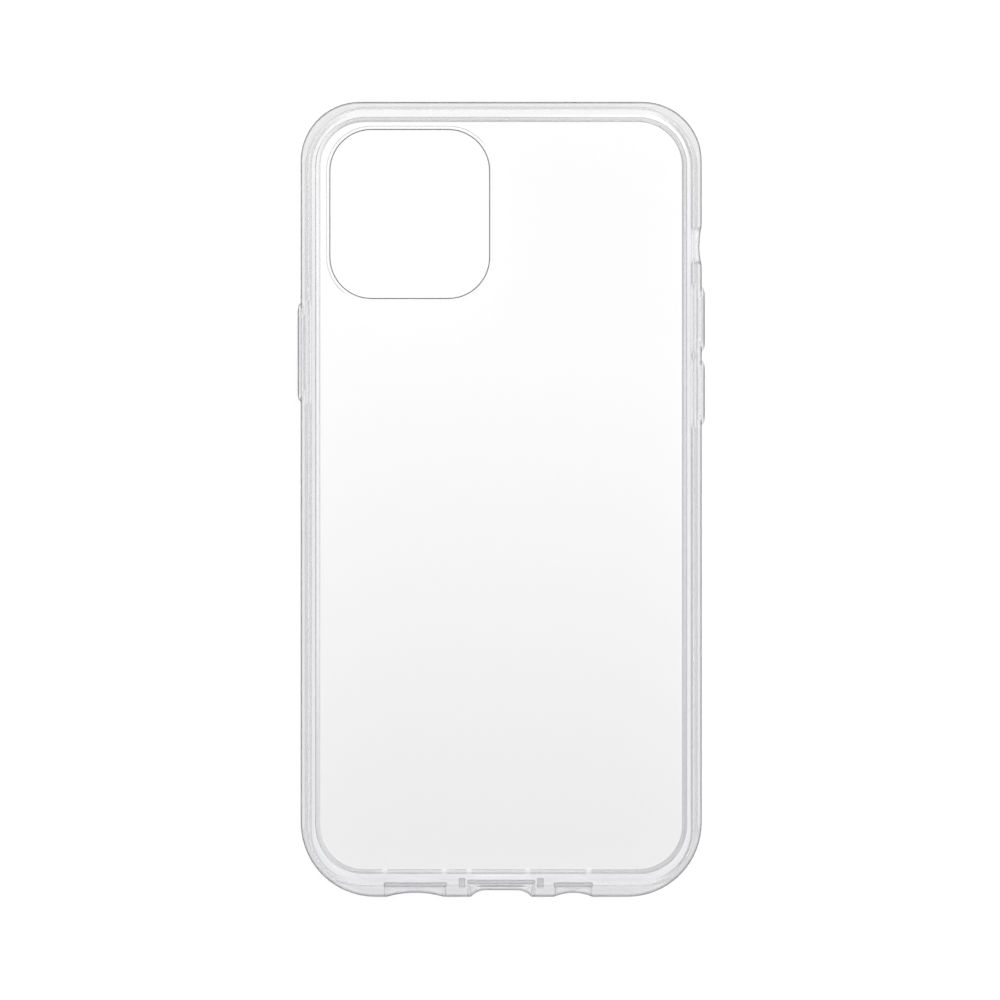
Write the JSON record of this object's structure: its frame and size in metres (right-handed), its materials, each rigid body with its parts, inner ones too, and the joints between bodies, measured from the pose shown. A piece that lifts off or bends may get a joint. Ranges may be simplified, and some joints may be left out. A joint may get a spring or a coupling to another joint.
{
  "type": "phone case",
  "caption": "Clear phone case: hard back panel with a camera window, held in a soft bumper frame with a front lip, edge openings and key covers that press inwards.",
  "frame": {"origin": "middle of the footprint, on the plane that the front lip rests on", "axes": "+Z is the outward normal of the back, +Y points to the top of the phone, and +X is to the right seen from the back, towards the volume keys"},
  "size_m": [0.0758, 0.148, 0.0111],
  "materials": {
    "clear_panel": "clear, polished",
    "clear_bumper": "clear, soft gloss"
  },
  "bodies": {
    "case": {"back_panel": "clear_panel", "bumper_frame": "clear_bumper", "power_button_web": "clear_bumper", "volume_up_button_web": "clear_bumper", "volume_down_button_web": "clear_bumper"},
    "power_button": {"power_button": "clear_bumper"},
    "volume_up_button": {"volume_up_button": "clear_bumper"},
    "volume_down_button": {"volume_down_button": "clear_bumper"}
  },
  "joints": [
    {"name": "power_press", "type": "slide", "parent": "case", "child": "power_button", "axis": [1, 0, 0], "range_m": [0, 0.00035], "stiffness_N_per_m": 4000, "deforming": ["power_button_web"]},
    {"name": "volume_up_press", "type": "slide", "parent": "case", "child": "volume_up_button", "axis": [-1, 0, 0], "range_m": [0, 0.00035], "stiffness_N_per_m": 4000, "deforming": ["volume_up_button_web"]},
    {"name": "volume_down_press", "type": "slide", "parent": "case", "child": "volume_down_button", "axis": [-1, 0, 0], "range_m": [0, 0.00035], "stiffness_N_per_m": 4000, "deforming": ["volume_down_button_web"]}
  ]
}
